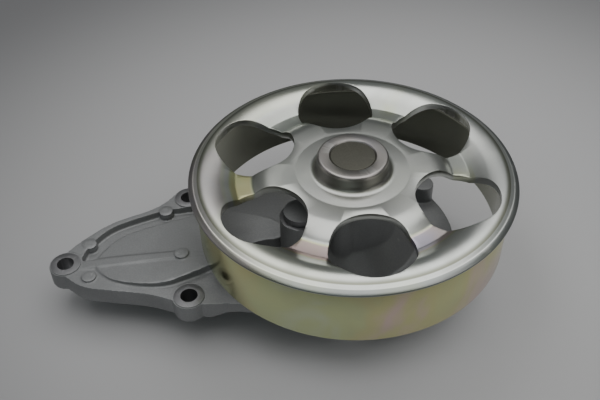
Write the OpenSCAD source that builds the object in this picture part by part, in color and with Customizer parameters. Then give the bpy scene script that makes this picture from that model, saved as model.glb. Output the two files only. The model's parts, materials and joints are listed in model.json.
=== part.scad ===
// Engine coolant pump with a smooth pressed-steel pulley driven by the back of the belt.
// The pump axis is Z. z = 0 is the mounting face of the cast body, the pulley is at +Z and
// the impeller at -Z. The long lobe of the casting runs towards -X.

/* [Pulley] */
// Outer diameter of the lip
lip_d = 124; // [118:0.5:130]
// Outer diameter of the smooth belt face
belt_d = 119.6; // [114:0.2:121]
// Height of the lip's lower edge above the mounting face
lip_z = 41; // [40:0.5:44]
// Length of the belt face below the lip
belt_h = 25.6; // [22:0.2:28]
// Thickness of the pressed sheet
sheet_t = 2.6; // [2:0.1:3.2]
// Diameter of the six access windows
window_d = 31; // [28:0.5:33]
// Distance from the axis to the centre of a window
window_r = 40.7; // [39:0.1:42]
// Angle of the first window
window_phase = 36.5; // [0:0.5:60]
// Outer diameter of the raised hub collar
hub_d = 27.2; // [25:0.2:30]
// Height of the hub collar's end above the lip's lower edge
hub_rise = 8.6; // [6:0.2:10]

/* [Shaft and bearing] */
// Diameter of the shaft in the bearing and the pulley
shaft_d = 17; // [16:0.1:18]
// Diameter of the shaft's rear end, in the seal and the impeller
tail_d = 12; // [10:0.1:13]
// Outer diameter of the bearing
bearing_d = 30; // [29:0.1:31]
// Diameter of a bearing ball
ball_d = 5.56; // [5:0.01:5.6]
// Number of bearing balls
ball_count = 10; // [6:1:10]
// Diameter of a bearing roller
roller_d = 5; // [4.6:0.1:5]
// Number of bearing rollers
roller_count = 11; // [6:1:11]

/* [Cast body] */
// Height of the boss faces above the mounting face
boss_z = 8; // [7:0.5:9]
// Radius of the round flange about the axis
flange_r = 42; // [40:0.5:44]
// Outer diameter of the bearing tower
tower_d = 37; // [36:0.5:40]
// Height of the bearing tower above the mounting face
tower_z = 37.4; // [36:0.2:37.6]
// Diameter of the bolt holes
bolt_hole_d = 6.6; // [6.4:0.1:7]
// Depth of the coolant passage in the back of the casting
passage_depth = 4.5; // [3:0.5:4.5]

/* [Impeller] */
// Diameter of the impeller
impeller_d = 50; // [46:1:54]
// Depth of the impeller's lowest edge below the mounting face
impeller_drop = 13; // [12:0.5:15]
// Number of vanes
vane_count = 8; // [6:1:9]

/* [Hidden] */

$fn = 96;
eps = 0.02;
lip_r = lip_d / 2;
belt_r = belt_d / 2;
shaft_r = shaft_d / 2;
tail_r = tail_d / 2;
hub_z = lip_z + hub_rise;
hole_r = bolt_hole_d / 2;

// Bolt bosses round the casting: the lobe's tip, its two shoulders, and three on the flange.
tip = [-113, -13.4];
upper = [-67.8, 24.3];
lower = [-62.7, -31];
top_bolt = [1.4, 37.35];
right_bolt = [29.5, -22.5];
bottom_bolt = [-1.4, -37.35];
BOLTS = [tip, upper, lower, top_bolt, right_bolt, bottom_bolt];
boss_r = 6.4;

// Leak reservoir beside the tower, and the solid post on the flange's far side.
reservoir = [-19.9, -11];
reservoir_r = 8;
reservoir_bore_r = 6.4;
reservoir_z = 29.4;
reservoir_floor_z = 11;
post = [32, 22.4];
post_r = 4.4;
post_z = 15.2;

// Levels of the lobe.
groove_z = 4.6;
mesa_low_z = 7.9;
mesa_slope = 4;
mesa_x = -104;
rib_low_z = 8.1;
rib_slope = 4.6;
rib_pad_z = 11.5;
pad_r = 2.6;

// Back of the casting.
chamber_r = 28.6;
passage_end = [-90, -8.6];
passage_end_r = 6;
gasket_gap = 2.6;
gasket_w = 2.4;
gasket_groove_w = 2.7;
gasket_depth = 2.4;
gasket_proud = 0.4;
nose_r = 19;
nose_z = -1;
seal_bore_r = 13.5;
bearing_bore_z = 9;

// Bearing: the ring's span, and the rows of balls and rollers in it.
ring_low = 10.5;
ring_high = 37;
ring_in_r = 12.6;
ball_r = ball_d / 2;
ball_ring_r = 10.75;
ball_z = 16.5;
roller_r = roller_d / 2;
roller_ring_r = 11.05;
roller_z = 28.2;
roller_len = 9;
fit_gap = 0.05;

// Seal.
case_top = 6.3;
face_z = 0.4;
seat_low = -2.2;

// Impeller.
disc_top = -3.4;
disc_low = -5;
impeller_r = impeller_d / 2;

// Points on an arc about c, from angle a to angle b in n steps.
function arc(c, r, a, b, n) = [
    for (i = [0:n]) let (t = a + (b - a) * i / n) [c[0] + r * cos(t), c[1] + r * sin(t)]
];

// An outline with its corners cut n times, which leaves it smooth.
function soften(pts, n) = n == 0 ? pts : soften([
    for (i = [0:len(pts) - 1]) let (a = pts[i], b = pts[(i + 1) % len(pts)])
        each [a * 0.75 + b * 0.25, a * 0.25 + b * 0.75]
], n - 1);

// A belt-shaped outline: two arcs about c1 and c2, joined by their outer tangents.
module link(c1, r1, c2, r2) {
    dir = atan2(c2[1] - c1[1], c2[0] - c1[0]);
    spread = acos((r1 - r2) / norm(c2 - c1));
    polygon(concat(
        arc(c1, r1, dir + spread, dir - spread + 360, 40),
        arc(c2, r2, dir - spread, dir + spread, 12)
    ));
}

module ring(r_in, r_out, low, high) {
    translate([0, 0, low]) difference() {
        cylinder(r = r_out, h = high - low);
        translate([0, 0, -1]) cylinder(r = r_in, h = high - low + 2);
    }
}

module disc_at(c, r, low, high) {
    translate([c[0], c[1], low]) cylinder(r = r, h = high - low);
}

// ---- Cast body ----

// Outline of the lobe, without its bosses.
LOBE = [
    [-114.5, -7.6], [-108.5, 0.4], [-99.4, 9.1], [-91.6, 13.2], [-83.6, 16.7], [-77, 21.8],
    [-73, 28.4], [-62, 27.5], [-40, 27], [-20, 36.5], [0, 38], [0, -38], [-16, -41.8],
    [-44, -34.8], [-56, -35.6], [-68, -33.6], [-77, -29.8], [-93, -27.6], [-104.6, -25.8],
    [-112, -19.9], [-119, -14.5]
];

// Raised roof over the coolant passage. It narrows towards the reservoir.
MESA = [
    [-101.5, -11.5], [-98.9, -6.5], [-95.3, -1.9], [-91.4, 1.4], [-85.2, 4.1], [-77.5, 6.4],
    [-65.5, 9.9], [-53, 13.6], [-26, 3.8], [-26, -6.8], [-38, -6.8], [-56.8, -19.3],
    [-63.8, -22.6], [-71.3, -26], [-80, -26.2], [-92, -23.6], [-97.4, -19.8], [-101, -15.5]
];

// Groove along the lobe's upper edge, between the rim and the roof.
GROOVE = [
    [-107.4, -12.6], [-106.4, -6.4], [-103.6, -0.2], [-98.4, 6.6], [-90.6, 10.9], [-82.6, 14.4],
    [-75, 17.6], [-72, 17.2], [-60, 20.5], [-55, 18], [-56, 11], [-66, 7.6], [-77.5, 4],
    [-91, -1.4], [-96.5, -7.5], [-98.5, -12.6]
];

module plate() {
    linear_extrude(boss_z - 0.4) {
        polygon(soften(LOBE, 2));
        circle(flange_r);
        for (b = BOLTS) translate(b) circle(boss_r);
    }
}

// Everything under a plane that rises towards the tower.
module under_slope(low, slope) {
    translate([mesa_x, -60, low]) rotate([0, -slope, 0])
        translate([-40, 0, -40]) cube([140, 120, 40]);
}

module roof() {
    intersection() {
        translate([0, 0, groove_z - 1]) linear_extrude(14) polygon(soften(MESA, 2));
        under_slope(mesa_low_z, mesa_slope);
    }
}

module rib() {
    intersection() {
        translate([0, 0, groove_z - 1]) linear_extrude(14) polygon([
            [-108.2, -11.9], [-88.2, -10.8], [-67, -10.3], [-67, -13.5], [-88.2, -14.8], [-108.2, -16.3]
        ]);
        under_slope(rib_low_z, rib_slope);
    }
}

module tower() {
    translate([0, 0, boss_z - 1]) cylinder(r = tower_d / 2, h = tower_z - boss_z + 1);
    translate([0, 0, boss_z - 0.6]) cylinder(r1 = 27, r2 = tower_d / 2, h = 9.5);
    disc_at([-3.8, -14.6], 5.2, boss_z - 1, tower_z - 4);
    disc_at(reservoir, reservoir_r, boss_z - 1, reservoir_z);
}

module pads() {
    disc_at([-105.4, -2.6], pad_r, groove_z - 1, boss_z - 0.1);
    disc_at([-76.6, 16], pad_r, groove_z - 1, boss_z - 0.1);
    disc_at([-102.4, -20.8], pad_r, groove_z - 1, boss_z + 0.6);
    disc_at([-67, -11.9], pad_r, groove_z - 1, rib_pad_z);
}

module back_pocket() {
    translate([0, 0, -1]) linear_extrude(passage_depth + 1)
        link([0, 0], chamber_r, passage_end, passage_end_r);
}

module gasket_path(w) {
    centre = gasket_gap;
    difference() {
        link([0, 0], chamber_r + centre + w / 2, passage_end, passage_end_r + centre + w / 2);
        link([0, 0], chamber_r + centre - w / 2, passage_end, passage_end_r + centre - w / 2);
    }
}

module pump_body() {
    color("silver") difference() {
        union() {
            difference() {
                union() {
                    plate();
                    for (b = BOLTS) disc_at(b, boss_r - 0.4, 1, boss_z);
                    tower();
                }
                translate([0, 0, groove_z]) linear_extrude(10) polygon(soften(GROOVE, 2));
                back_pocket();
                // Undercut along the near edge, between two bosses.
                translate([-41, -50, -27]) rotate([-90, 0, 0]) cylinder(r = 30, h = 18.4);
            }
            difference() {
                union() {
                    roof();
                    rib();
                    pads();
                }
                back_pocket();
            }
            disc_at(tip, boss_r - 0.4, 1, boss_z);
            disc_at(upper, boss_r - 0.4, 1, boss_z);
            disc_at(post, post_r, boss_z - 1, post_z);
            disc_at([0, 0], nose_r, nose_z, passage_depth + 1);
        }
        for (b = BOLTS) disc_at(b, hole_r, -2, boss_z + 4);
        disc_at([0, 0], seal_bore_r, nose_z - 1, bearing_bore_z + 1);
        disc_at([0, 0], bearing_d / 2, bearing_bore_z, tower_z + 1);
        disc_at(reservoir, reservoir_bore_r, reservoir_floor_z, reservoir_z + 1);
        translate([0, 0, -eps]) linear_extrude(gasket_depth + eps) gasket_path(gasket_groove_w);
        // Leak channel from the seal cavity up to the reservoir.
        rotate(atan2(reservoir[1], reservoir[0])) translate([12, 0, 7.4]) rotate([0, 66, 0])
            cylinder(r = 1.3, h = 10.6);
    }
}

// ---- Pulley ----

module pulley_section() {
    t = sheet_t;
    r_in = belt_r - t;
    polygon(concat(
        [[shaft_r, lip_z - 0.6], [shaft_r, hub_z - 0.5], [shaft_r + 0.4, hub_z]],
        [[hub_d / 2 - 0.7, hub_z], [hub_d / 2, hub_z - 0.7], [hub_d / 2 + 0.3, lip_z + 4.4]],
        arc([hub_d / 2 + 2.9, lip_z + 4.6], 2.6, 180, 270, 6),
        [[36, lip_z + 2]],
        arc([36.4, lip_z], 2, 90, 40, 3),
        arc([40.9, lip_z], 2, 210, 270, 3),
        arc([44.2, lip_z], 2, 270, 330, 3),
        arc([57.6, lip_z - 9], 12, 136, 90, 7),
        arc([57.6, lip_z - 0.4], 3.4, 78, 42, 3),
        [[lip_r, lip_z + 0.7], [lip_r, lip_z], [belt_r, lip_z - 0.5]],
        [[belt_r, lip_z - belt_h], [r_in, lip_z - belt_h], [r_in, lip_z - 1.8]],
        [[r_in - 1.2, lip_z - 0.1]],
        arc([57.6, lip_z - 9], 12 - t, 100, 134, 4),
        [[45.4, lip_z - 4.6], [39.6, lip_z - 4.6], [36.6, lip_z - 0.8], [35, lip_z - 0.6]]
    ));
}

module pulley() {
    color("khaki") difference() {
        rotate_extrude($fn = 180) pulley_section();
        for (i = [0:5]) rotate(window_phase + 60 * i)
            translate([window_r, 0, lip_z - 7]) cylinder(r = window_d / 2, h = 20);
    }
}

// ---- Shaft and bearing ----

module shaft() {
    color("dimgray") difference() {
        rotate_extrude() polygon([
            [0, -impeller_drop + 0.6], [tail_r - 0.4, -impeller_drop + 0.6], [tail_r, -impeller_drop + 1],
            [tail_r, ring_low - 2.5], [shaft_r - 0.5, ring_low - 2.5], [shaft_r, ring_low - 2],
            [shaft_r, hub_z - 0.7], [shaft_r - 0.5, hub_z - 0.2], [0, hub_z - 0.2]
        ]);
        translate([0, 0, ball_z]) rotate_extrude() translate([ball_ring_r, 0]) circle(ball_r + fit_gap);
    }
}

module bearing_outer_ring() {
    color("lightslategray") difference() {
        rotate_extrude() polygon([
            [ring_in_r + 0.4, ring_low], [bearing_d / 2 - 0.5, ring_low], [bearing_d / 2, ring_low + 0.5],
            [bearing_d / 2, ring_high - 0.5], [bearing_d / 2 - 0.5, ring_high], [ring_in_r + 0.4, ring_high],
            [ring_in_r + 0.4, ring_high - 2.2], [ring_in_r, ring_high - 2.2],
            [ring_in_r, roller_z + roller_len / 2 + 0.4],
            [roller_ring_r + roller_r + fit_gap, roller_z + roller_len / 2 + 0.4],
            [roller_ring_r + roller_r + fit_gap, roller_z - roller_len / 2 - 0.4],
            [ring_in_r, roller_z - roller_len / 2 - 0.4],
            [ring_in_r, ring_low + 2.2], [ring_in_r + 0.4, ring_low + 2.2]
        ]);
        translate([0, 0, ball_z]) rotate_extrude() translate([ball_ring_r, 0]) circle(ball_r + fit_gap);
    }
}

module ball_set() {
    color("gainsboro") for (i = [0:ball_count - 1]) rotate(360 / ball_count * i)
        translate([ball_ring_r, 0, ball_z]) sphere(ball_r, $fn = 32);
}

module ball_cage() {
    color("wheat") difference() {
        ring(9.5, 11.9, ball_z - 3.6, ball_z + 3.6);
        for (i = [0:ball_count - 1]) rotate(360 / ball_count * i)
            translate([ball_ring_r, 0, ball_z]) sphere(ball_r + 0.1, $fn = 32);
    }
}

module roller_set() {
    color("gainsboro") for (i = [0:roller_count - 1]) rotate(360 / roller_count * i)
        translate([roller_ring_r, 0, roller_z - roller_len / 2]) cylinder(r = roller_r, h = roller_len, $fn = 32);
}

module roller_cage() {
    color("wheat") difference() {
        ring(9.7, 12.2, roller_z - roller_len / 2 - 1.3, roller_z + roller_len / 2 + 1.3);
        for (i = [0:roller_count - 1]) rotate(360 / roller_count * i)
            translate([roller_ring_r, 0, roller_z - roller_len / 2 - 0.1])
                cylinder(r = roller_r + 0.1, h = roller_len + 0.2, $fn = 32);
    }
}

module front_bearing_seal() {
    color("saddlebrown") ring(shaft_r + fit_gap, ring_in_r + 0.4, ring_high - 1.9, ring_high - 0.3);
}

module rear_bearing_seal() {
    color("saddlebrown") ring(shaft_r + fit_gap, ring_in_r + 0.4, ring_low + 0.3, ring_low + 1.9);
}

module slinger() {
    color("lightgray") rotate_extrude() polygon([
        [shaft_r, 38.2], [15.6, 38.2], [17, 37.9], [17.2, 38.5], [15.8, 38.9], [shaft_r, 38.9]
    ]);
}

// ---- Mechanical seal ----

module seal_case() {
    color("goldenrod") rotate_extrude() polygon([
        [7.6, case_top - 0.7], [seal_bore_r - 0.8, case_top - 0.7], [seal_bore_r - 0.8, nose_z - 0.8],
        [16, nose_z - 0.8], [16, nose_z], [seal_bore_r, nose_z], [seal_bore_r, case_top - 0.5],
        [seal_bore_r - 0.5, case_top], [7.6, case_top]
    ]);
}

module seal_bellows() {
    color("black") rotate_extrude() polygon([
        [7.6, 3.6], [8.8, 3.6], [9.4, 4.2], [8.8, 4.7], [12.4, 4.7], [12.4, case_top - 0.72],
        [7.6, case_top - 0.72]
    ]);
}

// Coil spring: rings of points along a helix, joined in one skin of triangles.
spring_r = 11.3;
spring_wire = 0.22;
spring_turns = 1.75;
spring_low = 3.1;
spring_high = 4.65;
spring_steps = 48;
spring_sides = 8;

function spring_ring(i) = let (
    t = i / spring_steps,
    a = 360 * spring_turns * t,
    z = spring_low + spring_wire + (spring_high - spring_low - 2 * spring_wire) * t
) [
    for (k = [0:spring_sides - 1]) let (b = 360 * k / spring_sides, r = spring_r + spring_wire * cos(b))
        [r * cos(a), r * sin(a), z + spring_wire * sin(b)]
];

module seal_spring() {
    points = [for (i = [0:spring_steps]) each spring_ring(i)];
    n = spring_sides;
    last = spring_steps * n;
    side = [
        for (i = [0:spring_steps - 1], k = [0:n - 1]) let (a = i * n + k, b = i * n + (k + 1) % n)
            each [[a, b, b + n], [a, b + n, a + n]]
    ];
    ends = [for (k = [1:n - 2]) each [[0, k + 1, k], [last, last + k, last + k + 1]]];
    color("lightgray") polyhedron(points, concat(side, ends), convexity = 4);
}

module carbon_ring() {
    color("darkslategray") rotate_extrude() polygon([
        [7.3, face_z + fit_gap], [9.2, face_z + fit_gap], [9.2, 1.2], [10.2, 1.2], [10.2, 2.7], [7.3, 2.7]
    ]);
}

module carbon_shell() {
    color("silver") rotate_extrude() polygon([
        [7.6, 2.72], [10.22, 2.72], [10.22, 1.3], [10.7, 1.3], [10.7, 2.3], [12.2, 2.3],
        [12.2, 2.78], [10.3, 3.2], [7.6, 3.2]
    ]);
}

module ceramic_seat() {
    color("ivory") ring(6.9, 10.85, seat_low, face_z);
}

module seat_cup() {
    color("black") rotate_extrude() polygon([
        [tail_r, -2.75], [11.4, -2.75], [11.4, -0.6], [10.85, -0.6], [10.85, seat_low],
        [6.9, seat_low], [6.9, 0.1], [tail_r, 0.1]
    ]);
}

// ---- Impeller ----

// A curved blade. Its outer end stays just inside the disc's edge.
module vane() {
    centre = [impeller_r - 16, -15];
    translate([0, 0, -impeller_drop]) linear_extrude(disc_low + impeller_drop + 0.5)
        polygon(concat(arc(centre, 19, 37, 94, 9), arc(centre, 17, 94, 37, 9)));
}

module impeller() {
    color("slategray") difference() {
        union() {
            disc_at([0, 0], impeller_r, disc_low, disc_top);
            disc_at([0, 0], 9.4, -impeller_drop, -2.8);
            for (i = [0:vane_count - 1]) rotate(360 / vane_count * i) vane();
        }
        disc_at([0, 0], tail_r, -impeller_drop - 1, 0);
    }
}

// ---- Small parts ----

module body_gasket() {
    color("seagreen") translate([0, 0, -gasket_proud]) linear_extrude(gasket_depth + gasket_proud - 0.1)
        gasket_path(gasket_w);
}

module reservoir_plug() {
    color("gray") translate([reservoir[0], reservoir[1], 0]) rotate_extrude() polygon([
        [0, 21.2], [4.6, 21.2], [5.6, 22], [5.6, 25.2], [reservoir_bore_r, 25.2],
        [reservoir_bore_r, 21.2], [5.4, 20.2], [0, 20.2]
    ]);
}

pump_body();
pulley();
shaft();
bearing_outer_ring();
ball_set();
ball_cage();
roller_set();
roller_cage();
front_bearing_seal();
rear_bearing_seal();
slinger();
seal_case();
seal_bellows();
seal_spring();
carbon_ring();
carbon_shell();
ceramic_seat();
seat_cup();
impeller();
body_gasket();
reservoir_plug();
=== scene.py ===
"""Looks of an engine coolant pump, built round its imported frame.

The cast body, the pressed pulley, the shaft and the impeller are modelled here at full detail and
stand for their frame nodes. The bearing and seal pieces keep their frame shape, with rounded edges
and their own finishes. Lengths are in metres, and the pump axis is Z.
"""

import json
import logging
import math
from dataclasses import dataclass, field
from enum import Enum

import bpy
from mathutils import Matrix, Vector

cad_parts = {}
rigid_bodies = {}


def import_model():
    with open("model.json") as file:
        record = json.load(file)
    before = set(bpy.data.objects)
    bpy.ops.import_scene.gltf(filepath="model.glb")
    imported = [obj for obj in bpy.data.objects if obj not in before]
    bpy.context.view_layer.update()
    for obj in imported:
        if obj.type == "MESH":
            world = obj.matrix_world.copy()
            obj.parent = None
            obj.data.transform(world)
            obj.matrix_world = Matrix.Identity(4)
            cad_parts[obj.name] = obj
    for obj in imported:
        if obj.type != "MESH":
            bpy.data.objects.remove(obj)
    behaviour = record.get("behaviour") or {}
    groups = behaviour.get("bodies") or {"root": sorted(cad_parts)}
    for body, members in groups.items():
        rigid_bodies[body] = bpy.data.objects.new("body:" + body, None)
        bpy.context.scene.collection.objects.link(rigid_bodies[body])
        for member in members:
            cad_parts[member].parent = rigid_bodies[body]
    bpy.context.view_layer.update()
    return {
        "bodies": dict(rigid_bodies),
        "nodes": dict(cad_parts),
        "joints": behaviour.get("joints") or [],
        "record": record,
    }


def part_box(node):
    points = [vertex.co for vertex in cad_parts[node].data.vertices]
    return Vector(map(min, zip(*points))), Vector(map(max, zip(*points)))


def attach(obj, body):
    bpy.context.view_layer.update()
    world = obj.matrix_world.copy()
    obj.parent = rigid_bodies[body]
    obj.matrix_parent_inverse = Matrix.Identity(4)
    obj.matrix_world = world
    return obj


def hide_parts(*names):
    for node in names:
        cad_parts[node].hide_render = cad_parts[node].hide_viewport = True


log = logging.getLogger("water_pump")
MM = 0.001
Point = tuple[float, float]
Colour = tuple[float, float, float]


# ---------------------------------------------------------------- modelling helpers


def deselect_all() -> None:
    """Leaves nothing selected, so that the next operator acts only on its own piece."""
    bpy.ops.object.select_all(action="DESELECT")


def activate(piece: bpy.types.Object) -> None:
    """Selects one object alone and makes it active."""
    deselect_all()
    piece.select_set(True)
    bpy.context.view_layer.objects.active = piece


def named(name: str) -> bpy.types.Object:
    """Names the active object and its mesh, and returns it."""
    piece = bpy.context.object
    piece.name = name
    piece.data.name = name
    return piece


def arc(centre: Point, radius: float, start: float, stop: float, steps: int) -> list[Point]:
    """Points along an arc.

    Args:
        centre: Centre of the arc.
        radius: Its radius.
        start: First angle in degrees.
        stop: Last angle in degrees.
        steps: How many chords the arc has.

    Returns:
        The arc's points from start to stop, both included.
    """
    angles = [math.radians(start + (stop - start) * i / steps) for i in range(steps + 1)]
    return [(centre[0] + radius * math.cos(a), centre[1] + radius * math.sin(a)) for a in angles]


def lathe(name: str, section: list[Point], steps: int = 192) -> bpy.types.Object:
    """Turns a closed section about the pump axis.

    Args:
        name: Name of the new piece.
        section: Radius and height of each corner, in millimetres, in order round the section.
        steps: How many steps the full turn takes.

    Returns:
        The turned piece, with its normals outwards.
    """
    deselect_all()
    bpy.ops.mesh.primitive_circle_add(vertices=len(section), radius=1.0, fill_type="NOTHING")
    piece = named(name)
    for corner, (radius, height) in zip(piece.data.vertices, section):
        corner.co = Vector((radius * MM, 0.0, height * MM))
    bpy.ops.object.mode_set(mode="EDIT")
    bpy.ops.mesh.select_all(action="SELECT")
    bpy.ops.mesh.spin(steps=steps, angle=math.tau, center=(0.0, 0.0, 0.0), axis=(0.0, 0.0, 1.0))
    bpy.ops.mesh.select_all(action="SELECT")
    bpy.ops.mesh.remove_doubles(threshold=0.004 * MM)
    bpy.ops.mesh.normals_make_consistent(inside=False)
    bpy.ops.object.mode_set(mode="OBJECT")
    return piece


def drum(
    name: str, centre: Point, radius: float, low: float, high: float, sides: int = 64
) -> bpy.types.Object:
    """Adds an upright round tool, used to cut or to add stock.

    Args:
        name: Name of the tool.
        centre: Its axis in plan, in millimetres.
        radius: Its radius in millimetres.
        low: Its lower end in millimetres.
        high: Its upper end in millimetres.
        sides: How many sides it has.

    Returns:
        The tool, with its place in its mesh.
    """
    deselect_all()
    place = (centre[0] * MM, centre[1] * MM, (low + high) / 2 * MM)
    bpy.ops.mesh.primitive_cylinder_add(
        vertices=sides, radius=radius * MM, depth=(high - low) * MM, location=place
    )
    bpy.ops.object.transform_apply(location=True, rotation=True, scale=True)
    return named(name)


def joined(name: str, pieces: list[bpy.types.Object]) -> bpy.types.Object:
    """Joins pieces that don't touch into one object of that name."""
    deselect_all()
    for piece in pieces:
        piece.select_set(True)
    bpy.context.view_layer.objects.active = pieces[0]
    if len(pieces) > 1:
        bpy.ops.object.join()
    return named(name)


def apply_modifier(piece: bpy.types.Object, kind: str, **settings: object) -> None:
    """Adds one modifier, sets it and applies it.

    Args:
        piece: The object to change.
        kind: The modifier's type, such as "BEVEL".
        settings: Values of the modifier.
    """
    activate(piece)
    modifier = piece.modifiers.new(kind.title(), kind)
    for key, value in settings.items():
        setattr(modifier, key, value)
    bpy.ops.object.modifier_apply(modifier=modifier.name)


def fuse(piece: bpy.types.Object, tool: bpy.types.Object) -> None:
    """Adds the tool's volume to the piece and removes the tool."""
    apply_modifier(piece, "BOOLEAN", operation="UNION", object=tool, solver="EXACT")
    bpy.data.objects.remove(tool)


def cut(piece: bpy.types.Object, tool: bpy.types.Object) -> None:
    """Takes the tool's volume out of the piece and removes the tool."""
    apply_modifier(piece, "BOOLEAN", operation="DIFFERENCE", object=tool, solver="EXACT")
    bpy.data.objects.remove(tool)


def soften_edges(piece: bpy.types.Object, width: float, angle: float = 35.0, segments: int = 2) -> None:
    """Rounds every sharp edge of a piece.

    Args:
        piece: The object to change.
        width: Width of the rounding in millimetres.
        angle: Edges sharper than this many degrees are rounded.
        segments: How many facets the rounding has.
    """
    apply_modifier(
        piece,
        "BEVEL",
        width=width * MM,
        segments=segments,
        limit_method="ANGLE",
        angle_limit=math.radians(angle),
        use_clamp_overlap=True,
        harden_normals=False,
    )


def smooth(piece: bpy.types.Object, angle: float = 32.0) -> None:
    """Shades a piece smooth, with edges over the angle kept sharp."""
    activate(piece)
    bpy.ops.object.shade_smooth_by_angle(angle=math.radians(angle))


# ---------------------------------------------------------------- shader helpers


class Wiring:
    """Adds nodes to one node tree and joins them."""

    def __init__(self, tree: bpy.types.NodeTree) -> None:
        """Keeps the tree to work on."""
        self.tree = tree

    def add(self, kind: str, values: dict | None = None, **settings: object) -> bpy.types.Node:
        """Adds a node.

        Args:
            kind: The node's type without its "ShaderNode" prefix.
            values: Socket values, or sockets to join, by input name or number.
            settings: Properties of the node.

        Returns:
            The new node.
        """
        node = self.tree.nodes.new("ShaderNode" + kind)
        for key, value in settings.items():
            setattr(node, key, value)
        for key, value in (values or {}).items():
            if isinstance(value, bpy.types.NodeSocket):
                self.tree.links.new(value, node.inputs[key])
            else:
                node.inputs[key].default_value = value
        return node

    def math(self, operation: str, *values: object, clamp: bool = False) -> bpy.types.NodeSocket:
        """Adds a Math node and returns its output."""
        return self.add("Math", dict(enumerate(values)), operation=operation, use_clamp=clamp).outputs[0]

    def mix(self, factor: object, first: object, second: object) -> bpy.types.NodeSocket:
        """Mixes two colours.

        Args:
            factor: Share of the second colour, a number or a socket.
            first: First colour or socket.
            second: Second colour or socket.

        Returns:
            The colour output.
        """
        node = self.add("Mix", data_type="RGBA", blend_type="MIX")
        for index, value in ((0, factor), (6, first), (7, second)):
            if isinstance(value, bpy.types.NodeSocket):
                self.tree.links.new(value, node.inputs[index])
            else:
                node.inputs[index].default_value = value if index == 0 else (*value, 1.0)
        return node.outputs[2]

    def spread(
        self, value: object, low: float, high: float, to_low: float, to_high: float
    ) -> bpy.types.NodeSocket:
        """Maps a range of values smoothly onto another range and returns the result."""
        values = {"Value": value, "From Min": low, "From Max": high, "To Min": to_low, "To Max": to_high}
        return self.add("MapRange", values, interpolation_type="SMOOTHSTEP").outputs[0]

    def ramp(self, value: object, stops: list[tuple[float, Colour]]) -> bpy.types.NodeSocket:
        """Turns a value into a colour along the stops and returns it."""
        node = self.add("ValToRGB", {"Fac": value})
        band = node.color_ramp
        band.interpolation = "EASE"
        while len(band.elements) < len(stops):
            band.elements.new(0.5)
        for element, (place, colour) in zip(band.elements, stops):
            element.position = place
            element.color = (*colour, 1.0)
        return node.outputs[0]


def new_group(
    name: str, inputs: dict[str, float], outputs: dict[str, str]
) -> tuple[Wiring, dict, bpy.types.Node]:
    """Starts a shader node group.

    Args:
        name: Name of the group.
        inputs: Each input's name and default value.
        outputs: Each output's name and socket type.

    Returns:
        The group's wiring, its input sockets by name, and its output node.
    """
    tree = bpy.data.node_groups.new(name, "ShaderNodeTree")
    for label, value in inputs.items():
        socket = tree.interface.new_socket(label, in_out="INPUT", socket_type="NodeSocketFloat")
        socket.default_value = value
    for label, kind in outputs.items():
        tree.interface.new_socket(label, in_out="OUTPUT", socket_type=kind)
    source = tree.nodes.new("NodeGroupInput")
    target = tree.nodes.new("NodeGroupOutput")
    return Wiring(tree), {s.name: s for s in source.outputs if s.name}, target


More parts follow.
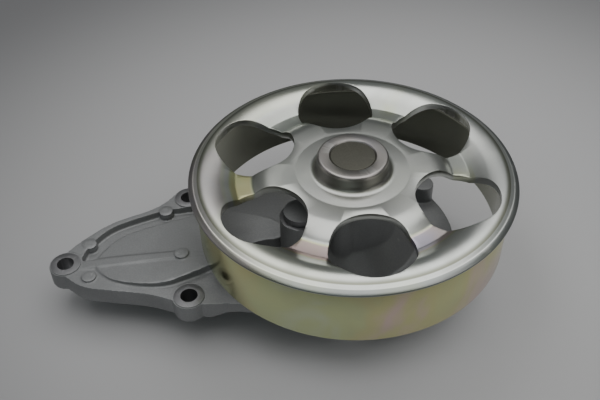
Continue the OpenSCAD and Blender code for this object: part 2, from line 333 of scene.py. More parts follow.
class Effects:
    """Node groups that several finishes share."""

    def __init__(self) -> None:
        """Builds every group once."""
        self.grain = self.build_grain()
        self.turning = self.build_turning()
        self.stain = self.build_stain()
        self.scratch = self.build_scratch()
        self.edge = self.build_edge()

    @staticmethod
    def build_grain() -> bpy.types.NodeTree:
        """Fine grain of cast, blasted or moulded surfaces, as a mask and a bumped normal."""
        outputs = {"Mask": "NodeSocketFloat", "Normal": "NodeSocketVector"}
        w, sockets, target = new_group("surface_grain", {"Grains": 900.0, "Depth": 0.00004}, outputs)
        place = w.add("TexCoord").outputs["Object"]
        values = {"Vector": place, "Scale": sockets["Grains"], "Detail": 6.0, "Roughness": 0.62}
        fine = w.add("TexNoise", values)
        pits = w.add("TexVoronoi", {"Vector": place, "Scale": w.math("MULTIPLY", sockets["Grains"], 1.7)})
        height = w.math("ADD", fine.outputs[0], w.math("MULTIPLY", pits.outputs[0], 0.35))
        bump = w.add("Bump", {"Height": height, "Strength": 1.0, "Distance": sockets["Depth"]})
        w.tree.links.new(fine.outputs[0], target.inputs["Mask"])
        w.tree.links.new(bump.outputs[0], target.inputs["Normal"])
        return w.tree

    @staticmethod
    def build_turning() -> bpy.types.NodeTree:
        """Turning marks: rings on faces across the axis, lines round faces along it."""
        outputs = {"Mask": "NodeSocketFloat", "Normal": "NodeSocketVector"}
        w, sockets, target = new_group("turning_marks", {"Rings": 2200.0, "Depth": 0.000008}, outputs)
        axes = w.add("SeparateXYZ", {0: w.add("TexCoord").outputs["Object"]})
        squares = [w.math("POWER", axes.outputs[i], 2.0) for i in (0, 1)]
        radius = w.math("SQRT", w.math("ADD", *squares))
        along = w.math("MULTIPLY", w.math("ADD", radius, axes.outputs[2]), sockets["Rings"])
        values = {"W": along, "Scale": 1.0, "Detail": 3.0, "Roughness": 0.7}
        rings = w.add("TexNoise", values, noise_dimensions="1D")
        bump = w.add("Bump", {"Height": rings.outputs[0], "Strength": 1.0, "Distance": sockets["Depth"]})
        w.tree.links.new(rings.outputs[0], target.inputs["Mask"])
        w.tree.links.new(bump.outputs[0], target.inputs["Normal"])
        return w.tree

    @staticmethod
    def build_stain() -> bpy.types.NodeTree:
        """Broad soft patches, from handling, flow marks and uneven plating."""
        inputs = {"Patches": 40.0, "Low": 0.4, "High": 0.65}
        w, sockets, target = new_group("soft_stains", inputs, {"Mask": "NodeSocketFloat"})
        place = w.add("TexCoord").outputs["Object"]
        values = {"Vector": place, "Scale": sockets["Patches"], "Detail": 4.0, "Distortion": 0.6}
        cloud = w.add("TexNoise", values)
        values = {"Value": cloud.outputs[0], "From Min": sockets["Low"], "From Max": sockets["High"]}
        shaped = w.add("MapRange", values, interpolation_type="SMOOTHSTEP")
        w.tree.links.new(shaped.outputs[0], target.inputs["Mask"])
        return w.tree

    @staticmethod
    def build_scratch() -> bpy.types.NodeTree:
        """Sparse fine scratches, as a mask."""
        w, sockets, target = new_group("fine_scratches", {"Count": 60.0}, {"Mask": "NodeSocketFloat"})
        place = w.add("TexCoord").outputs["Object"]
        masks = []
        for turn, stretch in ((0.5, 14.0), (2.1, 11.0)):
            values = {"Vector": place, "Rotation": (0.2, 0.1, turn), "Scale": (1.0, stretch, 1.0)}
            stretched = w.add("Mapping", values).outputs[0]
            lines = w.add("TexNoise", {"Vector": stretched, "Scale": sockets["Count"], "Detail": 5.0})
            masks.append(w.spread(lines.outputs[0], 0.66, 0.72, 0.0, 1.0))
        w.tree.links.new(w.math("MAXIMUM", *masks), target.inputs["Mask"])
        return w.tree

    @staticmethod
    def build_edge() -> bpy.types.NodeTree:
        """Mask of raised edges, where plating and cast skin wear bright."""
        inputs = {"Start": 0.52, "End": 0.6}
        w, sockets, target = new_group("edge_wear", inputs, {"Mask": "NodeSocketFloat"})
        point = w.add("NewGeometry").outputs["Pointiness"]
        values = {"Value": point, "From Min": sockets["Start"], "From Max": sockets["End"]}
        shaped = w.add("MapRange", values)
        w.tree.links.new(shaped.outputs[0], target.inputs["Mask"])
        return w.tree


class Pattern(Enum):
    """What leaves its marks on a surface."""

    GRAIN = "grain"
    TURNED = "turned"


@dataclass(frozen=True)
class Finish:
    """A plain finish: two tones, a roughness range and the marks of how it was made."""

    name: str
    slot: str
    tone: Colour
    shade: Colour
    metal: float
    rough_low: float
    rough_high: float
    pattern: Pattern = Pattern.GRAIN
    marks: float = 900.0
    depth: float = 0.00003
    coat: float = 0.0
    specular: float = 0.5

    def material(self, effects: Effects) -> bpy.types.Material:
        """Builds the material.

        Args:
            effects: The shared node groups.

        Returns:
            A material with the finish's tones, marks, stains and worn edges.
        """
        material = bpy.data.materials.new(self.name)
        material.use_nodes = True
        w = Wiring(material.node_tree)
        shader = material.node_tree.nodes["Principled BSDF"]
        tree = effects.grain if self.pattern is Pattern.GRAIN else effects.turning
        count = "Grains" if self.pattern is Pattern.GRAIN else "Rings"
        marks = w.add("Group", {}, node_tree=tree)
        marks.inputs[count].default_value = self.marks
        marks.inputs["Depth"].default_value = self.depth
        stain = w.add("Group", {}, node_tree=effects.stain)
        scratch = w.add("Group", {}, node_tree=effects.scratch)
        edge = w.add("Group", {}, node_tree=effects.edge)
        colour = w.mix(w.spread(marks.outputs["Mask"], 0.3, 0.7, 0.0, 0.6), self.tone, self.shade)
        colour = w.mix(w.math("MULTIPLY", stain.outputs[0], 0.35), colour, self.shade)
        bright = tuple(min(1.0, c * 1.35 + 0.02) for c in self.tone)
        colour = w.mix(w.math("MULTIPLY", edge.outputs[0], 0.5), colour, bright)
        rough = w.spread(stain.outputs[0], 0.0, 1.0, self.rough_low, self.rough_high)
        rough = w.math("ADD", rough, w.math("MULTIPLY", scratch.outputs[0], 0.1), clamp=True)
        w.tree.links.new(colour, shader.inputs["Base Color"])
        w.tree.links.new(rough, shader.inputs["Roughness"])
        w.tree.links.new(marks.outputs["Normal"], shader.inputs["Normal"])
        shader.inputs["Metallic"].default_value = self.metal
        shader.inputs["Coat Weight"].default_value = self.coat
        shader.inputs["Specular IOR Level"].default_value = self.specular
        return material


@dataclass(frozen=True)
class PassivatedZinc:
    """Zinc plate with a thin yellow passivation whose film shifts through green, pink and lilac, with a
    painted sheen on the rim and painted shade on the hub, collar, lip and inner side.
    """

    name: str = "passivated_zinc"
    belt_high: float = 40.6 * MM
    belt_r: float = 58.9 * MM
    trough_r: float = 42.5 * MM
    trough_half: float = 4.4 * MM
    hub_r: float = 13.9 * MM
    roll_r: float = 46.0 * MM
    roll_slope: float = 0.6
    lip_r: float = 60.0 * MM
    web_tone: Colour = (0.64, 0.65, 0.62)
    rim_painted_sheen_tone: Colour = (0.90, 0.92, 0.89)
    stain_tone: Colour = (0.42, 0.42, 0.34)
    inside_painted_shade_tone: Colour = (0.34, 0.35, 0.28)
    hub_painted_shade_tone: Colour = (0.30, 0.29, 0.28)
    collar_painted_shade_tone: Colour = (0.20, 0.20, 0.18)
    lip_painted_shade_tone: Colour = (0.27, 0.285, 0.29)
    worn_tone: Colour = (0.80, 0.80, 0.78)
    film_stops: tuple[tuple[float, Colour], ...] = (
        (0.0, (0.66, 0.67, 0.65)), (0.2, (0.61, 0.66, 0.60)), (0.34, (0.57, 0.62, 0.33)),
        (0.46, (0.62, 0.60, 0.30)), (0.6, (0.70, 0.52, 0.50)), (0.74, (0.58, 0.50, 0.70)),
        (0.9, (0.48, 0.64, 0.64)), (1.0, (0.64, 0.66, 0.64)),
    )

    def material(self, effects: Effects) -> bpy.types.Material:
        """Builds the material.

        Args:
            effects: The shared node groups.

        Returns:
            A bright metal whose tint follows the plating film over the pulley.
        """
        material = bpy.data.materials.new(self.name)
        material.use_nodes = True
        w = Wiring(material.node_tree)
        shader = material.node_tree.nodes["Principled BSDF"]
        place = w.add("TexCoord").outputs["Object"]
        x, y, height = w.add("SeparateXYZ", {0: place}).outputs
        radius = w.math("SQRT", w.math("ADD", w.math("POWER", x, 2.0), w.math("POWER", y, 2.0)))
        left = w.math("MULTIPLY", w.math("DIVIDE", x, radius), -1.0)
        near = w.math("MULTIPLY", w.math("DIVIDE", y, radius), -1.0)
        zones = self.zones(w, radius, height)
        # Painted sheen: the rim gets a brighter tone than the web, standing in for the brighter reflections
        # on the rolled rim.
        metal = w.mix(zones["rim"], self.web_tone, self.rim_painted_sheen_tone)
        film = self.tint(w, place, zones, left, near)
        colour = w.mix(self.strength(w, zones, left), metal, film)
        stain = w.add("Group", {}, node_tree=effects.stain)
        stain.inputs["Patches"].default_value = 55.0
        colour = w.mix(w.math("MULTIPLY", stain.outputs[0], 0.14), colour, self.stain_tone)
        # Painted shade: the pulley's inner side and its windows' walls are darkened, standing in for the
        # shade inside the pressing.
        colour = w.mix(zones["inside"], colour, self.inside_painted_shade_tone)
        # Painted shade: the hub, the collar's side and the lip are mixed towards darker tones, for their
        # dim reflections and the shade under the lip.
        painted_shades = {
            "hub": (0.55, self.hub_painted_shade_tone), "collar": (0.6, self.collar_painted_shade_tone), "lip": (0.7, self.lip_painted_shade_tone)
        }
        for zone, (amount, tone) in painted_shades.items():
            colour = w.mix(w.math("MULTIPLY", zones[zone], amount), colour, tone)
        edge = w.add("Group", {}, node_tree=effects.edge)
        colour = w.mix(w.math("MULTIPLY", edge.outputs[0], 0.3), colour, self.worn_tone)
        scratch = w.add("Group", {}, node_tree=effects.scratch)
        rough = w.spread(stain.outputs[0], 0.0, 1.0, 0.30, 0.36)
        rough = w.math("SUBTRACT", rough, w.math("MULTIPLY", zones["belt"], 0.12))
        rough = w.math("ADD", rough, w.math("MULTIPLY", scratch.outputs[0], 0.012), clamp=True)
        marks = w.add("Group", {}, node_tree=effects.turning)
        marks.inputs["Rings"].default_value = 2600.0
        marks.inputs["Depth"].default_value = 0.0000022
        w.tree.links.new(colour, shader.inputs["Base Color"])
        w.tree.links.new(rough, shader.inputs["Roughness"])
        w.tree.links.new(marks.outputs["Normal"], shader.inputs["Normal"])
        round_axis = w.add("Tangent", direction_type="RADIAL", axis="Z")
        w.tree.links.new(round_axis.outputs[0], shader.inputs["Tangent"])
        shader.inputs["Metallic"].default_value = 1.0
        shader.inputs["Anisotropic"].default_value = 0.45
        return material

    def zones(self, w: Wiring, radius: bpy.types.NodeSocket, height: bpy.types.NodeSocket) -> dict:
        """Masks of the pulley's zones.

        Args:
            w: The material's wiring.
            radius: Distance from the pump axis.
            height: Height along it.

        Returns:
            Masks of the belt face, trough, hub, collar's side, rim, lip and inner side, by name; the hub,
            collar, lip and inner side masks also place painted shade.
        """
        trough = w.math("ABSOLUTE", w.math("SUBTRACT", radius, self.trough_r))
        outside = w.math("MAXIMUM", w.math("SUBTRACT", radius, self.roll_r), 0.0)
        rolled = w.math("MULTIPLY", outside, self.roll_slope)
        # Painted shade mask: surfaces below the rolled front, under the roof and in the windows' walls.
        painted_shade_depth = w.spread(w.math("SUBTRACT", height, rolled), 36.0 * MM, 37.6 * MM, 1.0, 0.0)
        from_collar = w.math("ABSOLUTE", w.math("SUBTRACT", radius, self.hub_r))
        collar = w.spread(from_collar, 0.6 * MM, 1.4 * MM, 1.0, 0.0)
        return {
            "belt": self.belt_mask(w, radius, height),
            "trough": w.spread(trough, self.trough_half * 0.7, self.trough_half * 1.3, 1.0, 0.0),
            "hub": w.spread(radius, self.hub_r, self.hub_r + 2 * MM, 1.0, 0.0),
            "collar": w.math("MULTIPLY", collar, w.spread(height, 47.6 * MM, 48.4 * MM, 1.0, 0.0)),
            "rim": w.spread(radius, 47 * MM, 51 * MM, 0.0, 1.0),
            "lip": w.spread(radius, self.lip_r, self.lip_r + 0.4 * MM, 0.0, 1.0),
            "inside": w.math("MULTIPLY", painted_shade_depth, w.spread(radius, 58.4 * MM, 58.8 * MM, 1.0, 0.0)),
        }

    def tint(
        self, w: Wiring, place: object, zones: dict, left: object, near: object
    ) -> bpy.types.NodeSocket:
        """Colour of the passivation film.

        Args:
            w: The material's wiring.
            place: Object coordinates.
            zones: The zones' masks.
            left: How far to the left the direction from the axis points.
            near: How far to the near side it points.

        Returns:
            The film's colour.
        """
        values = {"Vector": place, "Scale": 30.0, "Detail": 3.0, "Distortion": 0.8}
        cloud = w.add("TexNoise", values).outputs[0]
        broad = w.add("TexNoise", {"Vector": place, "Scale": 11.0, "Detail": 1.0}).outputs[0]
        film = w.math("ADD", w.spread(cloud, 0.25, 0.75, 0.0, 0.26), w.spread(broad, 0.3, 0.7, -0.06, 0.06))
        film = w.math("ADD", film, w.math("MULTIPLY", zones["belt"], 0.26))
        lilac = w.math("MULTIPLY", w.math("MAXIMUM", left, 0.0), 0.5)
        rim = w.math("MULTIPLY", zones["rim"], w.math("SUBTRACT", 1.0, zones["belt"]))
        film = w.math("ADD", film, w.math("MULTIPLY", rim, lilac))
        groove = w.math("ADD", w.math("MULTIPLY", near, 0.3), 0.28)
        film = w.math("ADD", film, w.math("MULTIPLY", zones["trough"], groove))
        film = w.math("ADD", film, w.math("MULTIPLY", zones["hub"], 0.5), clamp=True)
        return w.ramp(film, list(self.film_stops))

    def strength(self, w: Wiring, zones: dict, left: bpy.types.NodeSocket) -> bpy.types.NodeSocket:
        """How strongly the film's colour shows, from its zones."""
        total = w.math("ADD", w.math("MULTIPLY", zones["belt"], 0.7), 0.22)
        total = w.math("ADD", total, w.math("MULTIPLY", zones["rim"], 0.04))
        total = w.math("ADD", total, w.math("MULTIPLY", zones["lip"], 0.5))
        groove = w.math("ADD", w.math("MULTIPLY", left, 0.25), 0.45)
        total = w.math("ADD", total, w.math("MULTIPLY", zones["trough"], groove))
        return w.math("ADD", total, w.math("MULTIPLY", zones["hub"], 0.06), clamp=True)

    def belt_mask(
        self, w: Wiring, radius: bpy.types.NodeSocket, height: bpy.types.NodeSocket
    ) -> bpy.types.NodeSocket:
        """Mask that is one on the belt face and its wall, and nought on the pulley's front."""
        outer = w.spread(radius, self.belt_r - 3.4 * MM, self.belt_r - 2.8 * MM, 0.0, 1.0)
        under = w.spread(height, self.belt_high - 1.0 * MM, self.belt_high, 1.0, 0.0)
        return w.math("MULTIPLY", outer, under)


# ---------------------------------------------------------------- pieces


@dataclass
class Pulley:
    """Pressed pulley: hub collar, web with six windows, trough, rolled rim, lip and belt face."""

    lip_z: float = 41.0
    lip_r: float = 62.0
    belt_r: float = 59.75
    belt_low: float = 15.45
    sheet: float = 2.6
    shaft_r: float = 8.5
    hub_r: float = 13.5
    hub_top: float = 49.55
    window_r: float = 15.5
    window_ring: float = 40.7
    window_phase: float = 36.5
    windows: int = 6

    def front(self) -> list[Point]:
        """Section of the front side, from the hub's bore out to the lip."""
        z = self.lip_z
        hub = [(self.shaft_r + 0.03, self.hub_top - 0.5), (self.shaft_r + 0.5, self.hub_top)]
        hub += arc((self.hub_r - 1.1, self.hub_top - 1.1), 1.1, 90, 8, 7)
        hub += arc((self.hub_r + 2.9, z + 4.75), 2.75, 178, 270, 12)
        web = [(20.9, z + 2.0), (21.3, z + 1.95), (21.8, z + 1.95), (22.2, z + 2.0)]
        drop = arc((29.0, z - 11.0), 13.0, 90, 50, 14) + arc((39.03, z + 0.95), 2.6, 230, 270, 6)
        rise = arc((43.9, z + 0.15), 1.8, 270, 299.6, 6) + arc((55.0, z - 7.0), 9.9, 119.6, 78, 18)
        lip = [(58.2, z + 2.4), (59.1, z + 2.06), (59.7, z + 1.76), (60.1, z + 1.62), (60.3, z + 1.62)]
        lip += arc((61.4, z + 0.25), 0.6, 50, 0, 5)
        return hub + web + drop + rise + lip

    def back(self) -> list[Point]:
        """Section of the belt face and the inner side, from the lip back to the hub's bore."""
        z = self.lip_z
        inner = self.belt_r - self.sheet
        belt = [(self.lip_r, z + 0.1), (self.lip_r - 0.25, z - 0.12), (self.belt_r - 0.1, z - 0.5)]
        belt += [(self.belt_r - 0.25, z - 0.9), (self.belt_r, z - 1.4), (self.belt_r, self.belt_low + 0.7)]
        belt += arc((self.belt_r - 0.7, self.belt_low + 0.7), 0.7, 0, -90, 5)
        belt += arc((inner + 0.5, self.belt_low + 0.5), 0.5, -90, -180, 4)
        roof = arc((inner - 3.2, z - 3.6), 3.2, 0, 62, 8)
        roof += arc((55.0, z - 7.0), 7.3, 88, 119.6, 6)
        roof += [(46.0, z - 3.7), (44.6, z - 4.3), (38.6, z - 4.3), (37.0, z - 3.7)]
        roof += [(34.0, z - 2.0), (29.0, z - 0.6)]
        return belt + roof + [(self.shaft_r + 0.03, z - 0.6)]

    def build(self) -> bpy.types.Object:
        """Turns the section, punches the windows and rounds every edge.

        Returns:
            The finished pulley.
        """
        piece = lathe("pulley_pressing", self.front() + self.back(), steps=240)
        tools = []
        for i in range(self.windows):
            angle = math.radians(self.window_phase + 360.0 / self.windows * i)
            centre = (self.window_ring * math.cos(angle), self.window_ring * math.sin(angle))
            tools.append(drum(f"punch_{i}", centre, self.window_r, 30.0, 52.0, sides=120))
        cut(piece, joined("punches", tools))
        soften_edges(piece, 0.32, angle=42.0)
        smooth(piece, 40.0)
        return piece


@dataclass
class CastBody:
    """Die-cast body: the frame shape with cast fillets, then milled faces and drilled holes."""

    bolts: list[Point]
    voxel: float = 0.4
    faces: int = 190000
    boss_z: float = 8.0
    boss_r: float = 5.95
    skin_z: float = 7.55
    hole_r: float = 3.3
    reservoir: Point = (-19.9, -11.0)
    reservoir_bore: float = 6.4
    reservoir_z: float = 29.25
    tower_z: float = 37.25
    pad_r: float = 2.75
    pads: tuple[tuple[float, float, float], ...] = (
        (-105.4, -2.6, 7.9), (-76.6, 16.0, 7.9), (-102.4, -20.8, 8.6), (-67.0, -11.9, 11.5)
    )

    def build(self, source: bpy.types.Object) -> bpy.types.Object:
        """Makes the casting from its frame node.

        Args:
            source: The frame's own casting, which stays as it is.

        Returns:
            The finished casting.
        """
        activate(source)
        bpy.ops.object.duplicate()
        piece = named("body_casting")
        piece.parent = None
        bpy.ops.object.mode_set(mode="EDIT")
        bpy.ops.mesh.select_all(action="SELECT")
        bpy.ops.mesh.remove_doubles(threshold=0.002 * MM)
        bpy.ops.object.mode_set(mode="OBJECT")
        apply_modifier(piece, "REMESH", mode="VOXEL", voxel_size=self.voxel * MM, use_smooth_shade=True)
        apply_modifier(piece, "SMOOTH", factor=0.5, iterations=3)
        apply_modifier(piece, "DECIMATE", ratio=min(1.0, self.faces / (2 * len(piece.data.polygons))))
        cut(piece, self.mill())
        fuse(piece, self.stock())
        cut(piece, self.drills())
        smooth(piece, 34.0)
        return piece

    def mill(self) -> bpy.types.Object:
        """Tool that clears the stock round the bosses, and faces the tower and the reservoir."""
        tools = [
            drum(f"spotface_{i}", c, self.boss_r + 0.8, self.skin_z, self.boss_z + 0.6)
            for i, c in enumerate(self.bolts)
        ]
        tools.append(drum("tower_facing", (0.0, 0.0), 24.0, self.tower_z, self.tower_z + 2.0))
        tools.append(drum("reservoir_facing", self.reservoir, 9.0, self.reservoir_z, 31.0))
        return joined("mill", tools)

    def stock(self) -> bpy.types.Object:
        """Crisp bosses and ejector pads, with fine rounded edges."""
        tools = [
            drum(f"boss_{i}", c, self.boss_r, 3.0, self.boss_z, sides=72) for i, c in enumerate(self.bolts)
        ]
        tools += [
            drum(f"pad_{i}", (x, y), self.pad_r, 5.2, top, sides=48)
            for i, (x, y, top) in enumerate(self.pads)
        ]
        stock = joined("stock", tools)
        soften_edges(stock, 0.22, angle=60.0)
        return stock

    def drills(self) -> bpy.types.Object:
        """Tool that bores the bolt holes, the reservoir and the bearing seat."""
        tools = [
            drum(f"drill_{i}", c, self.hole_r, -3.0, 12.0, sides=48) for i, c in enumerate(self.bolts)
        ]
        tools.append(drum("reservoir_drill", self.reservoir, self.reservoir_bore, 11.0, 32.0))
        tools.append(drum("bearing_boring", (0.0, 0.0), 15.0, 9.0, 40.0, sides=96))
        tools.append(drum("seal_boring", (0.0, 0.0), 13.5, -4.0, 8.98, sides=96))
        return joined("drills", tools)

    def mark_machined(self, piece: bpy.types.Object, milled: int) -> None:
        """Gives the milled faces and drilled walls their own finish.

        Args:
            piece: The casting.
            milled: Number of the milled finish's material slot.
        """
        levels = [z * MM for z in (self.boss_z, self.tower_z, self.reservoir_z)]
        for face in piece.data.polygons:
            up = face.normal.z > 0.999 and any(abs(face.center.z - z) < 0.01 * MM for z in levels)
            face.material_index = milled if up or self.in_hole(face) else 0

    def in_hole(self, face: bpy.types.MeshPolygon) -> bool:
        """Says whether a face is part of a drilled wall."""
        if abs(face.normal.z) > 0.05:
            return False
        holes = [(c, self.hole_r) for c in self.bolts] + [(self.reservoir, self.reservoir_bore)]
        for (x, y), radius in holes:
            offset = Vector((face.center.x - x * MM, face.center.y - y * MM))
            if abs(offset.length - radius * MM) < 0.05 * MM:
                return True
        return False


@dataclass
class Shaft:
    """Bearing shaft: dull faced end in the hub, ground journal, stepped tail."""

    end_z: float = 49.4
    radius: float = 8.5
    tail_r: float = 6.0
    step_z: float = 8.0
    tail_z: float = -12.4
    groove_z: float = 16.5
    groove_centre: float = 10.75
    groove_r: float = 2.83

    def build(self) -> bpy.types.Object:
        """Turns the shaft with its chamfers, ball groove and a centre drilling in its tail."""
        half = math.degrees(math.acos((self.groove_centre - self.radius) / self.groove_r))
        section = [(0.0, self.tail_z + 1.6), (1.4, self.tail_z + 0.5), (1.7, self.tail_z)]
        section += [(self.tail_r - 0.5, self.tail_z), (self.tail_r - 0.02, self.tail_z + 0.5)]
        section += [(self.tail_r - 0.02, self.step_z), (self.radius - 0.5, self.step_z)]
        section += [(self.radius - 0.02, self.step_z + 0.5)]
        groove = arc((self.groove_centre, self.groove_z), self.groove_r, 180 + half, 180 - half, 10)
        section += [(r - 0.02, z) for r, z in groove]
        section += [(self.radius - 0.02, self.end_z - 0.75)]
        section += arc((self.radius - 0.5, self.end_z - 0.48), 0.46, 0, 90, 4)
        section += [(0.4, self.end_z - 0.02), (0.0, self.end_z - 0.02)]
        piece = lathe("shaft_turned", section, steps=128)
        smooth(piece, 32.0)
        return piece


@dataclass
class Impeller:
    """Open impeller: a disc with curved vanes on the side away from the seal."""

    edge_width: float = 0.35

    def build(self, source: bpy.types.Object) -> bpy.types.Object:
        """Copies the frame's impeller, clears its flat faces and rounds its edges.

        Args:
            source: The frame's own impeller, which stays as it is.

        Returns:
            The finished impeller.
        """
        activate(source)
        bpy.ops.object.duplicate()
        piece = named("impeller_casting")
        piece.parent = None
        bpy.ops.object.mode_set(mode="EDIT")
        bpy.ops.mesh.select_all(action="SELECT")
        bpy.ops.mesh.remove_doubles(threshold=0.002 * MM)
        bpy.ops.mesh.dissolve_limited(angle_limit=math.radians(1.0))
        bpy.ops.object.mode_set(mode="OBJECT")
        soften_edges(piece, self.edge_width, angle=40.0)
        smooth(piece, 35.0)
        return piece


# ---------------------------------------------------------------- studio


@dataclass
class Studio:
    """Pale floor with a painted pool of light, soft light and the camera."""

    eye: tuple[float, float, float] = (-0.0200, -0.2303, 0.2384)
    elevation: float = 42.5
    roll: float = 1.1
    lens: float = 48.0
    air: float = 0.11
    painted_light_pool_centre: tuple[float, float, float] = (0.02, 0.04, 0.0)
    painted_light_pool_near: float = 0.08
    painted_light_pool_far: float = 0.30
    paper: tuple[Colour, Colour] = ((0.57, 0.57, 0.585), (0.61, 0.605, 0.61))
    far_painted_shade_paper: Colour = (0.22, 0.22, 0.228)

    def camera(self) -> None:
        """Adds the camera, above and in front of the pump."""
        data = bpy.data.cameras.new("camera")
        data.lens = self.lens
        data.sensor_width = 36.0
        data.clip_start = 0.01
        camera = bpy.data.objects.new("camera", data)
        bpy.context.scene.collection.objects.link(camera)
        tilt = Matrix.Rotation(math.radians(90.0 - self.elevation), 4, "X")
        turn = Matrix.Rotation(math.radians(-self.roll), 4, "Z")
        camera.matrix_world = Matrix.Translation(self.eye) @ tilt @ turn
        bpy.context.scene.camera = camera

    def floor(self, level: float) -> None:
        """Adds the floor, with a painted pool of light round the pump and painted shade further out, at the
        height that the pump stands on.

        Args:
            level: Height of the floor in metres.
        """
        deselect_all()
        bpy.ops.mesh.primitive_plane_add(size=6.0, location=(0.0, 0.0, level))
        plane = named("studio_floor")
        material = bpy.data.materials.new("pale_paper")
        material.use_nodes = True
        w = Wiring(material.node_tree)
        shader = material.node_tree.nodes["Principled BSDF"]
        place = w.add("TexCoord").outputs["Object"]
        cloud = w.add("TexNoise", {"Vector": place, "Scale": 3.0, "Detail": 2.0}).outputs[0]
        colour = w.mix(cloud, *self.paper)
        away = w.add("VectorMath", {0: place, 1: self.painted_light_pool_centre}, operation="DISTANCE").outputs["Value"]
        # Painted light: the floor is paler round the pump and darker further out, a painted pool of light.
        colour = w.mix(w.spread(away, self.painted_light_pool_near, self.painted_light_pool_far, 0.0, 1.0), colour, self.far_painted_shade_paper)
        w.tree.links.new(colour, shader.inputs["Base Color"])
        shader.inputs["Roughness"].default_value = 0.75
        plane.data.materials.append(material)

    def light(self, name: str, place: tuple, aim: tuple, size: float, power: float, tint: Colour) -> None:
        """Adds one soft square light.

        Args:
            name: Name of the light.
            place: Where it stands.
            aim: The point it faces.
            size: Its side in metres.
            power: Its power in watts.
            tint: Its colour.
        """
        data = bpy.data.lights.new(name, "AREA")
        data.size = size
        data.energy = power
        data.color = tint
        lamp = bpy.data.objects.new(name, data)
        bpy.context.scene.collection.objects.link(lamp)
        lamp.location = place
        lamp.rotation_euler = (Vector(aim) - Vector(place)).to_track_quat("-Z", "Y").to_euler()

    def world(self) -> None:
        """Sets the dim even surroundings."""
        world = bpy.data.worlds.new("studio_air")
        bpy.context.scene.world = world
        world.use_nodes = True
        background = world.node_tree.nodes["Background"]
        background.inputs["Color"].default_value = (0.92, 0.97, 0.96, 1.0)
        background.inputs["Strength"].default_value = self.air

    def build(self, level: float) -> None:
        """Builds the whole studio round a floor at that height."""
        self.camera()
        self.floor(level)
        self.world()
        self.light("ceiling", (0.05, 0.08, 0.62), (0.05, 0.08, 0.0), 0.84, 3.2, (1.0, 0.995, 0.985))
        self.light("fill_right", (0.95, -0.55, 0.75), (0.0, 0.0, 0.0), 0.8, 1.3, (1.0, 0.98, 0.95))
        self.light("fill_front", (-0.3, -1.1, 0.95), (0.0, 0.0, 0.0), 0.9, 0.9, (0.86, 1.0, 0.98))
        self.light("fill_left", (-1.0, 0.1, 0.55), (0.0, 0.0, 0.03), 0.7, 0.45, (0.97, 0.94, 1.0))


# ---------------------------------------------------------------- finishes

CAST = Finish(
    "blasted_casting", "cast_aluminium", (0.33, 0.335, 0.34), (0.26, 0.265, 0.27),
    0.6, 0.46, 0.58, marks=1500.0, depth=0.00004,
)
MILLED = Finish(
    "milled_aluminium", "cast_aluminium", (0.245, 0.245, 0.25), (0.20, 0.20, 0.21),
    0.85, 0.42, 0.52, Pattern.TURNED, 1800.0, 0.000006,
)
SHAFT_END = Finish(
    "faced_shaft", "shaft_steel", (0.13, 0.128, 0.105), (0.09, 0.088, 0.072),
    0.6, 0.45, 0.58, marks=1300.0, depth=0.00003,
)
PLAIN: dict[str, Finish] = {
    f.slot: f
    for f in (
        Finish(
            "ground_bearing_steel", "bearing_steel", (0.68, 0.69, 0.70), (0.60, 0.61, 0.62),
            1.0, 0.12, 0.2, Pattern.TURNED, 3000.0, 0.000002,
        ),
        Finish(
            "moulded_nylon", "cage_polymer", (0.74, 0.69, 0.56), (0.66, 0.61, 0.48),
            0.0, 0.4, 0.52, marks=700.0,
        ),
        Finish(
            "moulded_rubber", "seal_rubber", (0.030, 0.030, 0.031), (0.018, 0.018, 0.019),
            0.0, 0.5, 0.65, marks=1100.0, specular=0.4,
        ),
        # Painted shade: this plated sheet's tone is darkened almost to black, standing in for the shade
        # inside the reservoir bore where its plug sits; the slinger shares it.
        Finish(
            "zinc_plated_sheet_painted_shade", "zinc_sheet", (0.13, 0.135, 0.135), (0.09, 0.095, 0.10),
            1.0, 0.36, 0.48, Pattern.TURNED, 1500.0, 0.000004,
        ),
        Finish(
            "drawn_brass", "seal_case_brass", (0.72, 0.55, 0.28), (0.60, 0.44, 0.20),
            1.0, 0.22, 0.34, Pattern.TURNED, 1600.0, 0.000004,
        ),
        Finish(
            "stainless_wire", "spring_steel", (0.62, 0.62, 0.62), (0.52, 0.52, 0.53),
            1.0, 0.2, 0.3, marks=2000.0, depth=0.00001,
        ),
        Finish(
            "lapped_carbon", "carbon", (0.055, 0.055, 0.06), (0.035, 0.035, 0.04),
            0.1, 0.25, 0.35, marks=2500.0, depth=0.00001,
        ),
        Finish(
            "ground_ceramic", "ceramic", (0.84, 0.81, 0.74), (0.78, 0.75, 0.67),
            0.0, 0.2, 0.3, marks=1800.0, depth=0.00001, coat=0.15,
        ),
        Finish(
            "satin_stainless", "impeller_steel", (0.52, 0.52, 0.53), (0.42, 0.42, 0.43),
            1.0, 0.3, 0.42, marks=1200.0, depth=0.00002,
        ),
        Finish(
            "green_gasket", "gasket_rubber", (0.035, 0.085, 0.06), (0.02, 0.05, 0.04),
            0.0, 0.45, 0.6, marks=1000.0,
        ),
    )
}

# ---------------------------------------------------------------- assembly


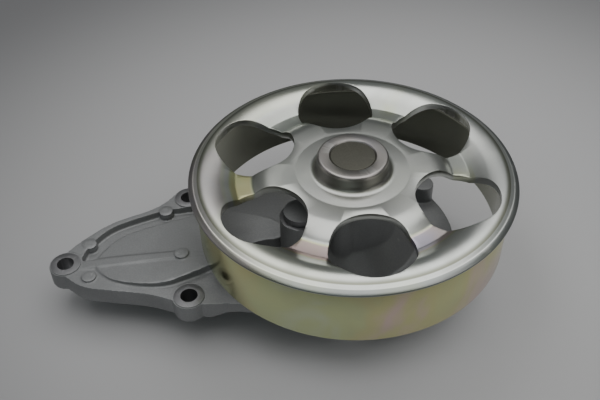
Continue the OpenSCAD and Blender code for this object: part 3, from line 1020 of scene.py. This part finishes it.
@dataclass
class Pump:
    """Dresses the frame: new pieces on their bodies, and finishes on the nodes that stay."""

    frame: dict
    effects: Effects
    made: dict[str, bpy.types.Material] = field(default_factory=dict)

    def finish(self, finish: Finish) -> bpy.types.Material:
        """Builds a finish the first time it is asked for, and returns its material."""
        if finish.name not in self.made:
            self.made[finish.name] = finish.material(self.effects)
        return self.made[finish.name]

    def stand_in(self, piece: bpy.types.Object, node: str, body: str) -> None:
        """Puts a new piece in a frame node's place.

        Args:
            piece: The new piece.
            node: The frame node that it stands for.
            body: The body that it rides on.
        """
        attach(piece, body)
        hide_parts(node)
        log.info("%s stands for %s with %d faces", piece.name, node, len(piece.data.polygons))

    def pulley(self) -> None:
        """Adds the pressed pulley."""
        piece = Pulley().build()
        piece.data.materials.clear()
        piece.data.materials.append(PassivatedZinc().material(self.effects))
        self.stand_in(piece, "pulley", "rotor")

    def casting(self) -> None:
        """Adds the cast body."""
        mounts = self.frame["record"]["mounts"]
        places = [m["pos_m"] for m in mounts if m["name"].startswith("bolt_hole")]
        bolts = [(place[0] / MM, place[1] / MM) for place in places]
        body = CastBody(bolts)
        piece = body.build(self.frame["nodes"]["pump_body"])
        piece.data.materials.clear()
        piece.data.materials.append(self.finish(CAST))
        piece.data.materials.append(self.finish(MILLED))
        body.mark_machined(piece, 1)
        self.stand_in(piece, "pump_body", "housing")

    def shaft(self) -> None:
        """Adds the turned shaft."""
        piece = Shaft().build()
        piece.data.materials.clear()
        piece.data.materials.append(self.finish(SHAFT_END))
        self.stand_in(piece, "shaft", "rotor")

    def impeller(self) -> None:
        """Adds the impeller."""
        piece = Impeller().build(self.frame["nodes"]["impeller"])
        piece.data.materials.clear()
        piece.data.materials.append(self.finish(PLAIN["impeller_steel"]))
        self.stand_in(piece, "impeller", "rotor")

    def kept_nodes(self, replaced: set[str]) -> None:
        """Gives every node that stays rounded edges and its finish.

        Args:
            replaced: Names of the nodes that new pieces stand for.
        """
        slots = {part["node"]: part["material_slot"] for part in self.frame["record"]["subparts"]}
        for name, node in self.frame["nodes"].items():
            if name in replaced:
                continue
            node.data.materials.clear()
            node.data.materials.append(self.finish(PLAIN[slots[name]]))
            weld = node.modifiers.new("weld", "WELD")
            weld.merge_threshold = 0.002 * MM
            bevel = node.modifiers.new("edges", "BEVEL")
            bevel.width = 0.12 * MM
            bevel.segments = 2
            bevel.limit_method = "ANGLE"
            bevel.angle_limit = math.radians(45.0)
            smooth(node, 40.0)
            log.info("%s keeps its shape with finish %s", name, slots[name])


def main() -> None:
    """Loads the frame and builds the pieces in order."""
    logging.basicConfig(level=logging.INFO)
    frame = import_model()
    Studio().build(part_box("impeller")[0].z)
    pump = Pump(frame, Effects())
    pump.casting()
    pump.pulley()
    pump.shaft()
    pump.impeller()
    pump.kept_nodes({"pump_body", "pulley", "shaft", "impeller"})


if __name__ == "__main__":
    main()
